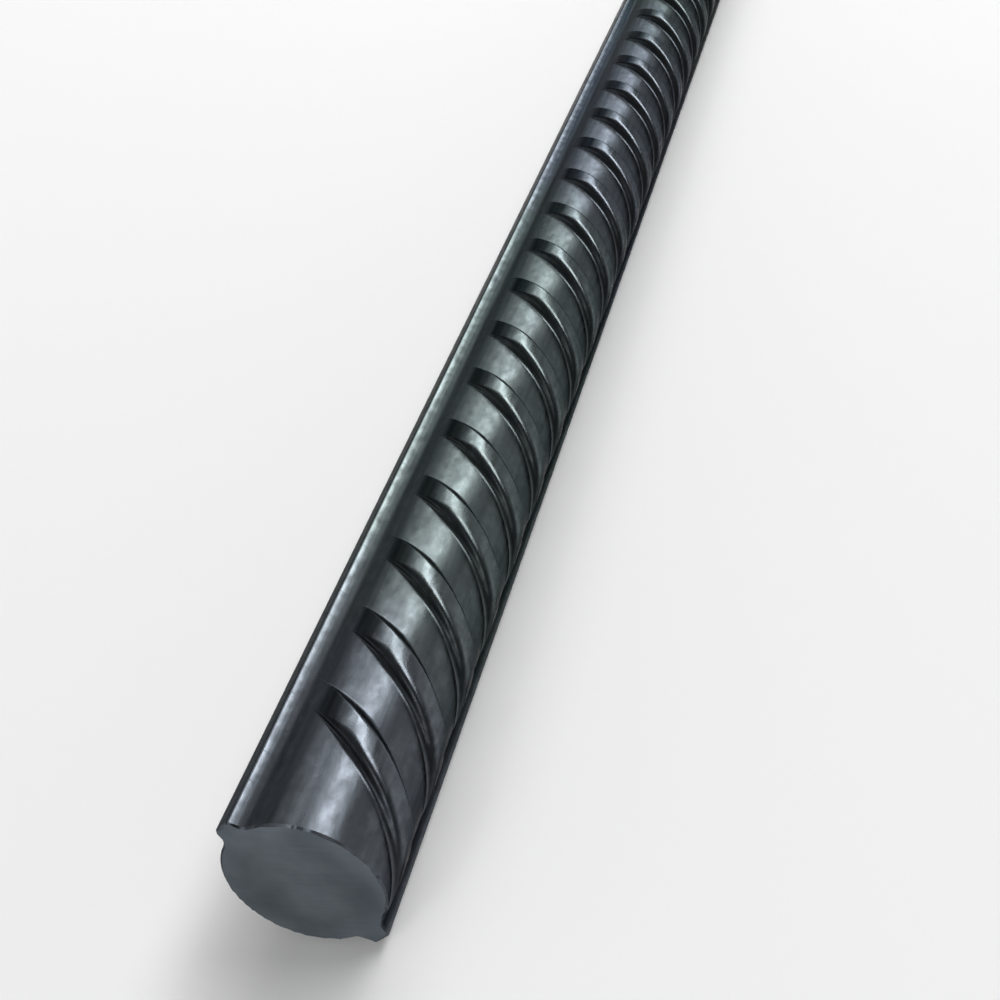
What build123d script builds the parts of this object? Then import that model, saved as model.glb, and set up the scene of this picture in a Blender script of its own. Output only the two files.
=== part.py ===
from build123d import *
from math import acos, atan2, degrees, hypot, radians, tan
import os

# A hot-rolled ribbed reinforcing bar of the 25 mm class, in millimetres.
# The bar's axis is X. It lies on the level plane z = 0, and the origin is the point of that plane
# below the middle of the bar.

# Length of the bar between its two square-cut ends
LENGTH = 1000

# Rolled section: a round core with longitudinal ribs on opposite sides
CORE_DIAMETER = 24.4
RIB_COUNT = 2
RIB_HEIGHT = 2.1
RIB_CREST_WIDTH = 3.1
RIB_FLANK_SLOPE = 68
RIB_CREST_RADIUS = 0.5
RIB_ROOT_RADIUS = 2.4

# How far a rib's profile reaches into the core, so that the two are one body of steel
RIB_FOOT_DEPTH = 1.0

# Broken edge round each cut end
END_BREAK = 0.3

core_radius = CORE_DIAMETER / 2

# Each rib's profile: flanks that lean in from the foot to the crest
rib_profile_height = RIB_FOOT_DEPTH + RIB_HEIGHT
rib_foot_width = RIB_CREST_WIDTH + 2 * rib_profile_height / tan(radians(RIB_FLANK_SLOPE))

# The bar lies on its core and on one rounded corner of a longitudinal rib. The ground is tangent
# to both circles, and that sets the angle from straight down to the rib.
half_corner = radians(180 - RIB_FLANK_SLOPE) / 2
corner_height = core_radius + RIB_HEIGHT - RIB_CREST_RADIUS
corner_offset = RIB_CREST_WIDTH / 2 - RIB_CREST_RADIUS / tan(half_corner)
corner_distance = hypot(corner_height, corner_offset)
corner_angle = degrees(acos((core_radius - RIB_CREST_RADIUS) / corner_distance))
rest_angle = corner_angle + degrees(atan2(corner_offset, corner_height))
rib_direction = Vector(0, 0, -1).rotate(Axis.X, rest_angle)

with BuildPart() as bar:
    cut_end = Plane(origin=(-LENGTH / 2, 0, core_radius), x_dir=rib_direction, z_dir=(1, 0, 0))
    with BuildSketch(cut_end) as section:
        Circle(core_radius)
        with PolarLocations(core_radius - RIB_FOOT_DEPTH, RIB_COUNT):
            Trapezoid(
                rib_foot_width,
                rib_profile_height,
                RIB_FLANK_SLOPE,
                rotation=-90,
                align=(Align.CENTER, Align.MIN),
            )
        fillet(vertices().group_by(SortBy.DISTANCE)[-1], RIB_CREST_RADIUS)
        fillet(vertices().group_by(SortBy.DISTANCE)[0], RIB_ROOT_RADIUS)
    extrude(amount=LENGTH)
    chamfer(faces().filter_by(Axis.X).edges(), END_BREAK)

bar.part.label = "bar"

os.makedirs("parts", exist_ok=True)
export_step(bar.part, "parts/bar.step")
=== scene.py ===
from math import acos, atan2, ceil, cos, hypot, pi, radians, sin, sqrt, tan

import bmesh
import bpy
import numpy as np
from mathutils import Matrix, Vector


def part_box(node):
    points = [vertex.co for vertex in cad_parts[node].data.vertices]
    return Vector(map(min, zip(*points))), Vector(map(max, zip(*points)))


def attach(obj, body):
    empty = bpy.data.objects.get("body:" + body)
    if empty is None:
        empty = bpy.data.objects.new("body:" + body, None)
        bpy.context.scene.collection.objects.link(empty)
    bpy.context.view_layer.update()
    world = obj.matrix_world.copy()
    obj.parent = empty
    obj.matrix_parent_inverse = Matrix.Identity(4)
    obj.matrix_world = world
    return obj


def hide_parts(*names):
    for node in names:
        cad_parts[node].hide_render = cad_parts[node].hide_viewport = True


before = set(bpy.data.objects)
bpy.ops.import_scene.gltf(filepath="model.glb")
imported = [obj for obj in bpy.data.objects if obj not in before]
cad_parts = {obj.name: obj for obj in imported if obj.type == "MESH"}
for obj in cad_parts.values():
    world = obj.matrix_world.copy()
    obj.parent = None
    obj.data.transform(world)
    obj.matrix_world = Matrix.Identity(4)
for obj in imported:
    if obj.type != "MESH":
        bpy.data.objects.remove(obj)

MM = 0.001

# The rolled section, at the sizes of the part's own source
RIB_HEIGHT = 2.1 * MM
RIB_CREST_WIDTH = 3.1 * MM
RIB_FLANK_SLOPE = radians(68)
RIB_CREST_RADIUS = 0.5 * MM
RIB_ROOT_RADIUS = 2.4 * MM
END_BREAK = 0.3 * MM

# How uneven the broken edge is, as least and most share of its size
BREAK_SPREAD = (0.6, 1.5)
BREAK_SEED = 4

# How close to a cut a point counts as on it
CUT_TOLERANCE = 0.0001 * MM
ON_CUT = 0.001 * MM

# The material slot of the cut ends
CUT_MATERIAL = 1

# Slanting ribs, one row on each face between the longitudinal ribs. Lengths are along the bar, and the
# near flank is the one towards the front end.
PITCH = 17.3 * MM
FIRST_RIB_FROM_END = 13.7 * MM
SLANT_HEIGHT = 1.9 * MM
SLANT_BASE = 7.5 * MM
NEAR_FLANK = 0.5 * MM
NEAR_ROOT = 0.9 * MM
NEAR_EDGE = 1.5 * MM
FAR_FLANK = 1.9 * MM
FAR_ROOT = 0.8 * MM
FAR_EDGE = 0.7 * MM

# The shares of a flank that belong to its hollow root and to its rounded edge
HOLLOW_SHARE = 0.4
EDGE_SHARE = 0.45

# How far a slanting rib runs along the bar for each length round it, how far from the middle of its
# face it keeps its height and where it runs out, and how much narrower and softer it is there
SLANT_RUN_PER_ARC = 0.81
SLANT_FULL_HALF_ANGLE = radians(30)
SLANT_END_HALF_ANGLE = radians(64)
SLANT_END_NARROWING = 0.25
SLANT_END_ROUNDING = 0.3

# How finely the surface is divided
CREST_ARC_STEPS = 3
ROOT_ARC_STEPS = 3
FACE_STEPS = 16
NEAR_STEPS = 4
FAR_STEPS = 2

# The map for baking: strips of the long surface that take up most of it, and the ends in the rest
MAP_NAME = "OFBake"
MAP_STRIPS = 3
STRIP_SHARE = 0.245
STRIP_OVERLAP = 3 * MM
MAP_MARGIN = 0.02

# The range that most of a noise pattern fills
NOISE_RANGE = (0.3, 0.7)

# The scale's tint goes from violet to green and back along the bar, with a cloudy edge
TINT_PERIOD = 260 * MM
GREENEST_FROM_END = 105 * MM
TINT_PATCH = (50 * MM, 20 * MM, 20 * MM)
TINT_PATCH_DETAIL = 2.0
TINT_CLOUDS = (-0.6, 0.6)
TINT_CHANGE = (0.5, -0.5)
GREEN_SCALE = (0.072, 0.086, 0.087)
VIOLET_SCALE = (0.074, 0.083, 0.095)

# The scale's patterns: the size of their patches along the bar and across it, how many finer layers
# they have, their relief, and what they do to brightness and roughness
STREAK = (24 * MM, 0.9 * MM, 0.9 * MM)
STREAK_DETAIL = 3.0
STREAK_DEPTH = 0.006 * MM
STREAK_BRIGHTNESS = (0.88, 1.12)
STREAK_ROUGHNESS = (-0.03, 0.03)
MOTTLE = (2.4 * MM, 1.6 * MM, 1.6 * MM)
MOTTLE_DETAIL = 4.0
MOTTLE_DEPTH = 0.022 * MM
MOTTLE_BRIGHTNESS = (0.84, 1.16)
MOTTLE_ROUGHNESS = (0.40, 0.27)
PIT = (0.35 * MM, 0.35 * MM, 0.35 * MM)
PIT_DETAIL = 2.0
PIT_DEPTH = 0.006 * MM

# The colour of the scale's gloss where it is seen edge on
SCALE_EDGE_TINT = (0.35, 0.35, 0.35)

# The sawn end's patterns
CUT_CLOUD = (11 * MM, 11 * MM, 11 * MM)
CUT_CLOUD_DETAIL = 3.0
CUT_CLOUD_DEPTH = 0.05 * MM
CUT_CLOUD_RANGE = (0.35, 0.65)
CUT_ROUGHNESS = (0.52, 0.66)
CUT_METALLIC = 0.3
SAW_MARK = (1 * MM, 9 * MM, 0.5 * MM)
SAW_MARK_DETAIL = 2.0
SAW_MARK_DEPTH = 0.012 * MM
SAW_MARK_BRIGHTNESS = (0.94, 1.06)
DARK_CUT = (0.050, 0.065, 0.078)
PALE_CUT = (0.104, 0.124, 0.142)
RIM_BRIGHTNESS = 1.25

# The photograph's camera, round the bar's axis and in core radii from the end that it shows
PHOTO_RIB_LEAN = radians(51)
CAMERA_AHEAD = 9.70
CAMERA_ASIDE = 4.66
CAMERA_ABOVE = 14.01
CAMERA_PITCH = radians(38.7)
CAMERA_HEADING = radians(13.7)
LENS_MM = 54
SENSOR_MM = 36
NEAREST_SEEN = 0.01
FARTHEST_SEEN = 60

# The floor, and how far from the bar it fades into the horizon, measured shorter along the bar
FLOOR_HALF_WIDTH = 20
FLOOR_COLOR = (0.84, 0.84, 0.84)
FLOOR_ROUGHNESS = 0.9
FADE_SHAPE = (0.3, 1, 0)
FADE_FROM = (0.08, 0.8)

# A pale surround that dims above the horizon
HORIZON_TOP = radians(6)
CEILING_EDGE = radians(30)
HORIZON_STRENGTH = 0.95
CEILING_STRENGTH = 0.16

# Long soft boxes that follow the photograph's highlights, all at one distance from the bar's axis. Each
# has its back and its front end, as x in metres and degrees from straight up towards +Y in the
# photograph, then its width in metres and its radiance.
LIGHT_DISTANCE = 3.0
SOFT_BOXES = {
    "far_key": ((-8.0, -6), (-2.9, 6), 1.2, 9.3),
    "key": ((-2.9, 6), (-0.9, 19), 1.2, 8.0),
    "edge_strip": ((-0.9, 19), (0.2, 16), 0.85, 7.2),
    "near_shoulder": ((-8.4, -24), (-2.0, -18), 1.3, 4.0),
    "far_shoulder": ((-8.4, -50), (-1.5, -36), 1.5, 1.4),
}

# One more before the cut end, whose degrees are from straight up as the bar lies
FRONT_FILL = ((2.9, -20), (6.9, -20), 1.6, 3.4)

low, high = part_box("bar")
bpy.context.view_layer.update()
core_radius = (high.z - low.z) / 2
axis_height = (high.z + low.z) / 2
front_end = high.x
back_end = low.x

# Painted shade darkens the scale in the roots and on the flanks, partly for thicker scale there. The crests
# are paler, partly from rubbed wear and partly from a painted sheen, and the longitudinal ribs' crests get
# painted shade. Each zone comes in between two distances from the axis.
ROOT_SCALE_AND_SHADE_ZONE = (core_radius + 0.05 * MM, core_radius + 0.45 * MM)
CREST_WEAR_AND_SHEEN_ZONE = (core_radius + 1.2 * MM, core_radius + 1.8 * MM)
LONG_CREST_SHADE_ZONE = (core_radius + 1.95 * MM, core_radius + RIB_HEIGHT)
ZONE_WANDER = 0.05 * MM
# Brightness of the painted shade, partly thicker scale, in the roots and on the flanks
ROOT_SCALE_AND_SHADE_BRIGHTNESS = 0.45
# Brightness of the crests: partly rubbed wear, partly a painted sheen
CREST_WEAR_AND_SHEEN_BRIGHTNESS = 1.2
# Brightness of the painted shade on the longitudinal ribs' crests
LONG_CREST_SHADE_BRIGHTNESS = 0.9
CREST_POLISH = 0.06

# Where the sawn end gets paler towards its rim
CUT_RIM = (core_radius * 0.7, core_radius * 0.98)


def rest_lean():
    """Angle from straight down to the lower longitudinal rib, for a bar lying on one corner of it."""
    half_corner = (pi - RIB_FLANK_SLOPE) / 2
    corner_height = core_radius + RIB_HEIGHT - RIB_CREST_RADIUS
    corner_offset = RIB_CREST_WIDTH / 2 - RIB_CREST_RADIUS / tan(half_corner)
    reach = hypot(corner_height, corner_offset)
    return acos((core_radius - RIB_CREST_RADIUS) / reach) + atan2(corner_offset, corner_height)


# How far the bar's ribs are turned from where the photograph has them
PHOTO_TURN = PHOTO_RIB_LEAN - rest_lean()


def quarter_section():
    """(angle, radius) points from the middle of a longitudinal rib's crest to the middle of a face."""
    half_corner = (pi - RIB_FLANK_SLOPE) / 2
    flank_normal = pi / 2 - RIB_FLANK_SLOPE
    crest = core_radius + RIB_HEIGHT
    corner = Vector((RIB_CREST_WIDTH / 2 - RIB_CREST_RADIUS / tan(half_corner), crest - RIB_CREST_RADIUS))
    points = [Vector((0, crest))]
    for i in range(CREST_ARC_STEPS + 1):
        turn = pi / 2 + (flank_normal - pi / 2) * i / CREST_ARC_STEPS
        points.append(corner + RIB_CREST_RADIUS * Vector((cos(turn), sin(turn))))
    outward = Vector((cos(flank_normal), sin(flank_normal)))
    downhill = Vector((sin(flank_normal), -cos(flank_normal)))
    start = points[-1] + outward * RIB_ROOT_RADIUS
    reach = core_radius + RIB_ROOT_RADIUS
    along = start.dot(downhill)
    root = start + downhill * (-along - sqrt(along**2 - start.length_squared + reach**2))
    flank_turn = atan2(-outward.y, -outward.x)
    core_turn = atan2(-root.y, -root.x)
    for i in range(ROOT_ARC_STEPS + 1):
        turn = flank_turn + (core_turn - flank_turn) * i / ROOT_ARC_STEPS
        points.append(root + RIB_ROOT_RADIUS * Vector((cos(turn), sin(turn))))
    section = [(atan2(p.x, p.y), p.length) for p in points]
    first = section[-1][0]
    for i in range(1, FACE_STEPS + 1):
        section.append((first + (pi / 2 - first) * i / FACE_STEPS, core_radius))
    return section


def ring_section():
    """(angle from the upper rib, radius) round the whole bar."""
    quarter = quarter_section()
    half = quarter + [(pi - a, r) for a, r in reversed(quarter[:-1])]
    whole = half + [(2 * pi - a, r) for a, r in reversed(half[1:-1])]
    angles, radii = np.array(whole).T
    return angles, radii


def bend(start, corner, end, steps):
    """Points of a smooth bend from start to end round a corner."""
    parts = [i / steps for i in range(steps + 1)]
    return [(1 - s) ** 2 * start + 2 * s * (1 - s) * corner + s * s * end for s in parts]


def flank_rows(run, height, root, edge, steps):
    """(distance into the rib, height) up one flank, from the core before its root to its crest."""
    foot, top = Vector((0, 0)), Vector((run, height))
    hollow = bend(Vector((-root, 0)), foot, foot.lerp(top, HOLLOW_SHARE), steps)
    rounding = bend(top.lerp(foot, EDGE_SHARE), top, Vector((run + edge, height)), steps)
    return hollow + rounding


def pitch_rows(face_angle):
    """(distance along the bar from a slanting rib's middle, height) of each row of points in one pitch."""
    turn = abs(face_angle)
    ramp = (SLANT_END_HALF_ANGLE - turn) / (SLANT_END_HALF_ANGLE - SLANT_FULL_HALF_ANGLE)
    full = min(max(ramp, 0.0), 1.0)
    narrow = 1 - SLANT_END_NARROWING * min(turn / SLANT_END_HALF_ANGLE, 1.0) ** 2
    half_base = SLANT_BASE / 2 * narrow
    soft = narrow * max(full, SLANT_END_ROUNDING)
    height = SLANT_HEIGHT * full
    near = flank_rows(NEAR_FLANK * full, height, NEAR_ROOT * soft, NEAR_EDGE * soft, NEAR_STEPS)
    far = flank_rows(FAR_FLANK * full, height, FAR_ROOT * soft, FAR_EDGE * soft, FAR_STEPS)
    rows = [(p.x - half_base, p.y) for p in near]
    rows += [(half_base - p.x, p.y) for p in reversed(far)]
    rows.append(((rows[-1][0] + rows[0][0] + PITCH) / 2, 0.0))
    return rows


def bar_surface():
    """The bar's rolled surface as a grid of rows that follow the slanting ribs, cut square at both ends."""
    angles, radii = ring_section()
    face_angles = np.where(angles <= pi, angles - pi / 2, angles - 3 * pi / 2)
    way = np.where(angles <= pi, -1.0, 1.0)
    shifts = way * SLANT_RUN_PER_ARC * core_radius * face_angles
    pitches = [np.array(pitch_rows(a)) for a in face_angles]
    run = np.stack([p[:, 0] for p in pitches])
    rise = np.stack([p[:, 1] for p in pitches])

    reach = np.abs(shifts).max() + PITCH
    length = front_end - back_end
    first = -ceil((reach + FIRST_RIB_FROM_END) / PITCH)
    last = ceil((length + reach) / PITCH)
    counts = np.arange(first, last)

    from_end = FIRST_RIB_FROM_END + counts[:, None, None] * PITCH + run.T[None] + shifts[None, None]
    from_end = from_end.reshape(-1, len(angles))
    whole = counts >= 0
    heights = (whole[:, None, None] * rise.T[None]).reshape(-1, len(angles))
    reach_out = radii[None] + heights
    around = angles[None] - rest_lean()
    x = front_end - from_end
    y = reach_out * np.sin(around)
    z = axis_height + reach_out * np.cos(around)
    points = np.stack([x, y, z], -1).reshape(-1, 3)

    rows, columns = from_end.shape
    i, j = np.meshgrid(np.arange(rows - 1), np.arange(columns), indexing="ij")
    k = (j + 1) % columns
    quads = np.stack([i * columns + j, i * columns + k, (i + 1) * columns + k, (i + 1) * columns + j], -1)
    mesh = bpy.data.meshes.new("bar_surface")
    mesh.from_pydata(points.tolist(), [], quads.reshape(-1, 4).tolist())
    return mesh


def close_end(shape, end, way, unevenness):
    """Cuts the surface square at one end and closes it with an unevenly broken edge and a flat face."""
    at = end - way * END_BREAK
    everything = shape.verts[:] + shape.edges[:] + shape.faces[:]
    plane = {"plane_co": (at, 0, 0), "plane_no": (way, 0, 0)}
    bmesh.ops.bisect_plane(shape, geom=everything, dist=CUT_TOLERANCE, clear_outer=True, **plane)
    rim = [e for e in shape.edges if e.is_boundary and all(abs(v.co.x - at) < ON_CUT for v in e.verts)]
    made = bmesh.ops.extrude_edge_only(shape, edges=rim)["geom"]
    for vert in (g for g in made if isinstance(g, bmesh.types.BMVert)):
        out = Vector((0, vert.co.y, vert.co.z - axis_height))
        vert.co -= out.normalized() * END_BREAK * unevenness.uniform(*BREAK_SPREAD)
        vert.co.x = end
    outer = [g for g in made if isinstance(g, bmesh.types.BMEdge) and g.is_boundary]
    for face in bmesh.ops.contextual_create(shape, geom=outer)["faces"]:
        face.smooth = False
        face.material_index = CUT_MATERIAL
    for edge in rim + outer:
        edge.smooth = False


def cut_ends(mesh):
    """Cuts the grid to the bar's length and closes both ends."""
    unevenness = np.random.default_rng(BREAK_SEED)
    shape = bmesh.new()
    shape.from_mesh(mesh)
    for face in shape.faces:
        face.smooth = True
    for end, way in ((front_end, 1), (back_end, -1)):
        close_end(shape, end, way, unevenness)
    bmesh.ops.recalc_face_normals(shape, faces=shape.faces[:])
    shape.to_mesh(mesh)
    shape.free()


def strip_places(corners, middles):
    """Map places of the long surface's corners, in strips of the bar's length, each strip one turn high."""
    strip_length = (front_end - back_end) / MAP_STRIPS
    strip = np.clip((front_end - middles[:, 0]) // strip_length, 0, MAP_STRIPS - 1)
    along = (front_end - corners[:, 0]) - strip * strip_length
    turns = np.arctan2(corners[:, 1], corners[:, 2] - axis_height) / (2 * pi)
    middle_turns = np.arctan2(middles[:, 1], middles[:, 2] - axis_height) / (2 * pi)
    turns += np.round(middle_turns - turns)
    u = (along + STRIP_OVERLAP) / (strip_length + 2 * STRIP_OVERLAP)
    v = (strip + MAP_MARGIN + (turns + 0.5) * (1 - 2 * MAP_MARGIN)) * STRIP_SHARE
    return u, v


def end_places(corners):
    """Map places of the two cut ends' corners, side by side above the strips."""
    half_width = core_radius + RIB_HEIGHT
    share = 1 - MAP_STRIPS * STRIP_SHARE
    across = (corners[:, 1] / half_width + 1) / 2
    upright = ((corners[:, 2] - axis_height) / half_width + 1) / 2
    is_back = corners[:, 0] < 0
    return (across + is_back) * share, 1 - share + upright * share


def lay_out_map(mesh):
    """Lays the surface out flat for baking, each face placed by where its middle is."""
    face_corners = [face.loop_total for face in mesh.polygons]
    middles = np.repeat([face.center for face in mesh.polygons], face_corners, axis=0)
    on_end = np.repeat([face.material_index == CUT_MATERIAL for face in mesh.polygons], face_corners)
    corners = np.array([mesh.vertices[loop.vertex_index].co for loop in mesh.loops])
    places = np.where(on_end, end_places(corners), strip_places(corners, middles))
    mesh.uv_layers.new(name=MAP_NAME).data.foreach_set("uv", places.T.ravel())


def new_material(name):
    material = bpy.data.materials.new(name)
    material.use_nodes = True
    return material, material.node_tree


def add(tree, kind, inputs, **settings):
    """A new node with its settings, its inputs set to a value or linked to another node's output."""
    node = tree.nodes.new(kind)
    for name, value in settings.items():
        setattr(node, name, value)
    for name, value in inputs.items():
        if isinstance(value, bpy.types.NodeSocket):
            tree.links.new(value, node.inputs[name])
        else:
            node.inputs[name].default_value = value
    return node


def place_in_frame(tree):
    return add(tree, "ShaderNodeTexCoord", {}).outputs["Object"]


def grain(tree, size, detail):
    """Cloudy pattern from 0 to 1 whose patches measure size along each of the bar's axes."""
    scale = [1 / length for length in size]
    place = add(tree, "ShaderNodeMapping", {"Vector": place_in_frame(tree), "Scale": scale}).outputs[0]
    return add(tree, "ShaderNodeTexNoise", {"Vector": place, "Scale": 1.0, "Detail": detail}).outputs[0]


def spread(tree, value, source, target):
    """The value, taken from its source range to its target range."""
    ends = {"From Min": source[0], "From Max": source[1], "To Min": target[0], "To Max": target[1]}
    return add(tree, "ShaderNodeMapRange", {"Value": value, **ends}).outputs[0]


def combine(tree, operation, *values):
    """The result of a Math node."""
    return add(tree, "ShaderNodeMath", dict(enumerate(values)), operation=operation).outputs[0]


def mix_colors(tree, share, first, second):
    inputs = {0: share, 6: (*first, 1), 7: (*second, 1)}
    return add(tree, "ShaderNodeMix", inputs, data_type="RGBA").outputs[2]


def shade(tree, color, brightness):
    return add(tree, "ShaderNodeVectorMath", {0: color, "Scale": brightness}, operation="SCALE").outputs[0]


def product(tree, first, *others):
    for factor in others:
        first = combine(tree, "MULTIPLY", first, factor)
    return first


def tint_wave(tree):
    """From 0 to 1 and back along the bar, with a cloudy edge."""
    x = add(tree, "ShaderNodeSeparateXYZ", {0: place_in_frame(tree)}).outputs["X"]
    per_metre = 2 * pi / TINT_PERIOD
    turn = combine(tree, "MULTIPLY_ADD", x, per_metre, (GREENEST_FROM_END - front_end) * per_metre)
    clouds = spread(tree, grain(tree, TINT_PATCH, TINT_PATCH_DETAIL), NOISE_RANGE, TINT_CLOUDS)
    wave = combine(tree, "ADD", combine(tree, "COSINE", turn), clouds)
    return spread(tree, wave, TINT_CHANGE, (0, 1))


def distance_from_axis(tree):
    parts = add(tree, "ShaderNodeSeparateXYZ", {0: place_in_frame(tree)})
    above = combine(tree, "SUBTRACT", parts.outputs["Z"], axis_height)
    section = add(tree, "ShaderNodeCombineXYZ", {"Y": parts.outputs["Y"], "Z": above})
    return add(tree, "ShaderNodeVectorMath", {0: section.outputs[0]}, operation="LENGTH").outputs["Value"]


def finish_material(tree, color, roughness, bumps):
    """Links colour and roughness to the shader, and each (pattern, depth) as relief over the one before."""
    shader = tree.nodes["Principled BSDF"]
    tree.links.new(color, shader.inputs["Base Color"])
    tree.links.new(roughness, shader.inputs["Roughness"])
    normal = None
    for pattern, depth in bumps:
        bump = add(tree, "ShaderNodeBump", {"Height": pattern, "Distance": depth})
        if normal:
            tree.links.new(normal, bump.inputs["Normal"])
        normal = bump.outputs[0]
    tree.links.new(normal, shader.inputs["Normal"])
    return shader


def scale_material():
    """Dark satin mill scale: slow changes of tint, streaks from rolling, a fine mottle, painted shade in
    the roots, on the flanks and on the longitudinal crests, and crests paler from wear and a painted sheen."""
    material, tree = new_material("mill_scale_steel")
    streaks = grain(tree, STREAK, STREAK_DETAIL)
    mottle = grain(tree, MOTTLE, MOTTLE_DETAIL)
    pits = grain(tree, PIT, PIT_DETAIL)
    wander = spread(tree, mottle, NOISE_RANGE, (-ZONE_WANDER, ZONE_WANDER))
    distance = combine(tree, "ADD", distance_from_axis(tree), wander)
    # How far into the crest zone a point is: it drives the crests' wear and painted sheen, and their polish
    crest_wear_and_sheen_mask = spread(tree, distance, CREST_WEAR_AND_SHEEN_ZONE, (0, 1))

    # Painted shade: the scale darkens from the roots outwards over the flanks, partly for thicker scale
    # there
    root_scale_and_shade = spread(tree, distance, ROOT_SCALE_AND_SHADE_ZONE, (1.0, ROOT_SCALE_AND_SHADE_BRIGHTNESS))
    # Paler crests: partly rubbed wear, partly a painted sheen
    crest_wear_and_sheen = spread(tree, crest_wear_and_sheen_mask, (0, 1), (1.0, CREST_WEAR_AND_SHEEN_BRIGHTNESS / ROOT_SCALE_AND_SHADE_BRIGHTNESS))
    # Painted shade on the longitudinal ribs' crests
    long_crest_shade = spread(tree, distance, LONG_CREST_SHADE_ZONE, (1.0, LONG_CREST_SHADE_BRIGHTNESS / CREST_WEAR_AND_SHEEN_BRIGHTNESS))
    clouds = spread(tree, mottle, NOISE_RANGE, MOTTLE_BRIGHTNESS)
    lines = spread(tree, streaks, NOISE_RANGE, STREAK_BRIGHTNESS)
    tint = mix_colors(tree, tint_wave(tree), GREEN_SCALE, VIOLET_SCALE)
    color = shade(tree, tint, product(tree, clouds, lines, product(tree, root_scale_and_shade, crest_wear_and_sheen, long_crest_shade)))

    matt = spread(tree, mottle, NOISE_RANGE, MOTTLE_ROUGHNESS)
    matt = combine(tree, "ADD", matt, spread(tree, streaks, NOISE_RANGE, STREAK_ROUGHNESS))
    matt = combine(tree, "MULTIPLY_ADD", crest_wear_and_sheen_mask, -CREST_POLISH, matt)
    relief = ((mottle, MOTTLE_DEPTH), (streaks, STREAK_DEPTH), (pits, PIT_DEPTH))
    shader = finish_material(tree, color, matt, relief)
    shader.inputs["Metallic"].default_value = 1.0
    shader.inputs["Specular Tint"].default_value = (*SCALE_EDGE_TINT, 1)
    return material


def cut_material():
    """Sawn steel: matt, cloudy, paler towards the rim, with faint parallel saw marks."""
    material, tree = new_material("sawn_steel")
    clouds = grain(tree, CUT_CLOUD, CUT_CLOUD_DETAIL)
    marks = grain(tree, SAW_MARK, SAW_MARK_DETAIL)
    tint = mix_colors(tree, spread(tree, clouds, CUT_CLOUD_RANGE, (0, 1)), DARK_CUT, PALE_CUT)
    lines = spread(tree, marks, NOISE_RANGE, SAW_MARK_BRIGHTNESS)
    rim = spread(tree, distance_from_axis(tree), CUT_RIM, (1.0, RIM_BRIGHTNESS))
    color = shade(tree, tint, product(tree, lines, rim))
    matt = spread(tree, clouds, NOISE_RANGE, CUT_ROUGHNESS)
    shader = finish_material(tree, color, matt, ((clouds, CUT_CLOUD_DEPTH), (marks, SAW_MARK_DEPTH)))
    shader.inputs["Metallic"].default_value = CUT_METALLIC
    return material


def make_bar():
    """The whole visible bar, in place of the solid. Returns its mesh."""
    mesh = bar_surface()
    cut_ends(mesh)
    lay_out_map(mesh)
    for material in (scale_material(), cut_material()):
        mesh.materials.append(material)
    bar = bpy.data.objects.new("ribbed_bar", mesh)
    bpy.context.scene.collection.objects.link(bar)
    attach(bar, "root")
    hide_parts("bar")
    weighted = bar.modifiers.new("even_normals", "WEIGHTED_NORMAL")
    weighted.keep_sharp = True
    return mesh


def make_camera():
    """The photograph's camera, turned about the bar's axis as far as the bar's ribs are turned."""
    data = bpy.data.cameras.new("photo_camera")
    data.lens = LENS_MM
    data.sensor_width = SENSOR_MM
    data.clip_start = NEAREST_SEEN
    data.clip_end = FARTHEST_SEEN
    camera = bpy.data.objects.new("photo_camera", data)
    bpy.context.scene.collection.objects.link(camera)
    bpy.context.scene.camera = camera
    place = core_radius * Vector((CAMERA_AHEAD, CAMERA_ASIDE, CAMERA_ABOVE))
    level = Vector((-cos(CAMERA_HEADING), -sin(CAMERA_HEADING), 0))
    forward = level * cos(CAMERA_PITCH) - Vector((0, 0, sin(CAMERA_PITCH)))
    pose = Matrix.Translation(place) @ forward.to_track_quat("-Z", "Y").to_matrix().to_4x4()
    roll = Matrix.Rotation(-PHOTO_TURN, 4, "X")
    camera.matrix_world = Matrix.Translation((front_end, 0, axis_height)) @ roll @ pose


def floor_material():
    """Pale matt floor. Far from the bar, what is seen or mirrored of it fades into the horizon."""
    material, tree = new_material("pale_floor")
    shader = tree.nodes["Principled BSDF"]
    shader.inputs["Base Color"].default_value = (*FLOOR_COLOR, 1)
    shader.inputs["Roughness"].default_value = FLOOR_ROUGHNESS
    place = {0: place_in_frame(tree), 1: FADE_SHAPE}
    flat = add(tree, "ShaderNodeVectorMath", place, operation="MULTIPLY").outputs[0]
    distance = add(tree, "ShaderNodeVectorMath", {0: flat}, operation="LENGTH").outputs["Value"]
    rays = add(tree, "ShaderNodeLightPath", {}).outputs
    seen = combine(tree, "ADD", rays["Is Camera Ray"], rays["Is Glossy Ray"])
    seen = combine(tree, "ADD", seen, rays["Is Transmission Ray"])
    fade = product(tree, spread(tree, distance, FADE_FROM, (0, 1)), seen)
    emission = {"Color": (1, 1, 1, 1), "Strength": HORIZON_STRENGTH}
    glow = add(tree, "ShaderNodeEmission", emission).outputs[0]
    mix = add(tree, "ShaderNodeMixShader", {0: fade, 1: shader.outputs[0], 2: glow}).outputs[0]
    tree.links.new(mix, tree.nodes["Material Output"].inputs["Surface"])
    return material


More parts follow.
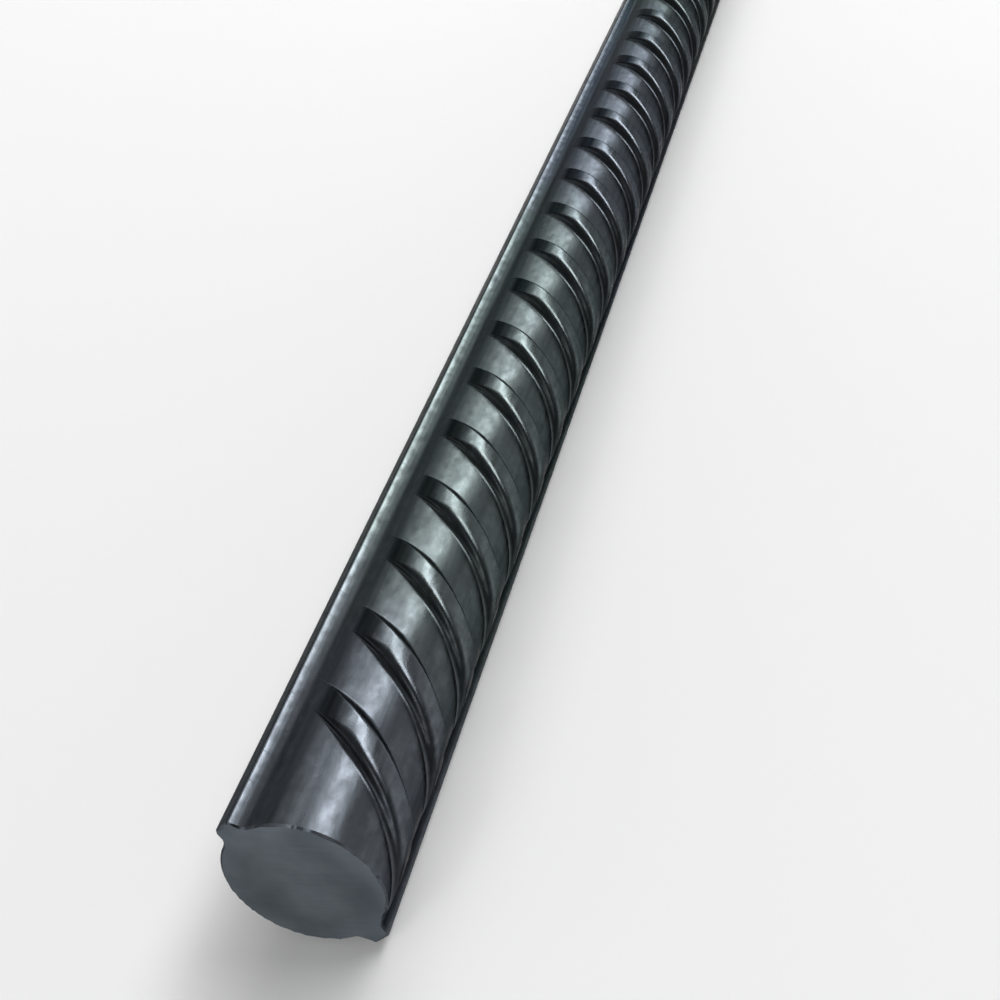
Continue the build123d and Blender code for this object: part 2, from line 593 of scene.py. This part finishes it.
def make_floor(height):
    mesh = bpy.data.meshes.new("floor")
    edge = FLOOR_HALF_WIDTH
    corners = [(-edge, -edge, height), (edge, -edge, height), (edge, edge, height), (-edge, edge, height)]
    mesh.from_pydata(corners, [], [(0, 1, 2, 3)])
    mesh.materials.append(floor_material())
    floor = bpy.data.objects.new("floor", mesh)
    bpy.context.scene.collection.objects.link(floor)


def soft_box(name, back, front, width, radiance, turn):
    """A long soft box over the bar, whose ends are turned further round the bar's axis by turn."""
    ends = []
    for x, degrees in (back, front):
        angle = radians(degrees) + turn
        ends.append(Vector((x, LIGHT_DISTANCE * sin(angle), axis_height + LIGHT_DISTANCE * cos(angle))))
    middle = (ends[0] + ends[1]) / 2
    along = ends[1] - ends[0]
    data = bpy.data.lights.new(name, "AREA")
    data.shape = "RECTANGLE"
    data.size = width
    data.size_y = along.length
    data.energy = radiance * pi * width * along.length
    light = bpy.data.objects.new(name, data)
    bpy.context.scene.collection.objects.link(light)
    y_axis = along.normalized()
    away = Vector((0, middle.y, middle.z - axis_height))
    z_axis = (away - away.dot(y_axis) * y_axis).normalized()
    turned = Matrix((y_axis.cross(z_axis), y_axis, z_axis)).transposed().to_4x4()
    light.matrix_world = Matrix.Translation(middle) @ turned


def make_world():
    """A pale horizon all round that dims towards the top, the same for every ray."""
    world = bpy.data.worlds.new("pale_world")
    world.use_nodes = True
    bpy.context.scene.world = world
    tree = world.node_tree
    direction = add(tree, "ShaderNodeTexCoord", {}).outputs["Generated"]
    up = add(tree, "ShaderNodeSeparateXYZ", {0: direction}).outputs["Z"]
    heights = (sin(HORIZON_TOP), sin(CEILING_EDGE))
    strength = spread(tree, up, heights, (HORIZON_STRENGTH, CEILING_STRENGTH))
    back = tree.nodes["Background"]
    back.inputs["Color"].default_value = (1, 1, 1, 1)
    tree.links.new(strength, back.inputs["Strength"])


bpy.context.scene.view_settings.view_transform = "Standard"

bar_mesh = make_bar()
make_camera()
make_world()
make_floor(min(vertex.co.z for vertex in bar_mesh.vertices))
for box_name, box in SOFT_BOXES.items():
    soft_box(box_name, *box, PHOTO_TURN)
soft_box("front_fill", *FRONT_FILL, 0)
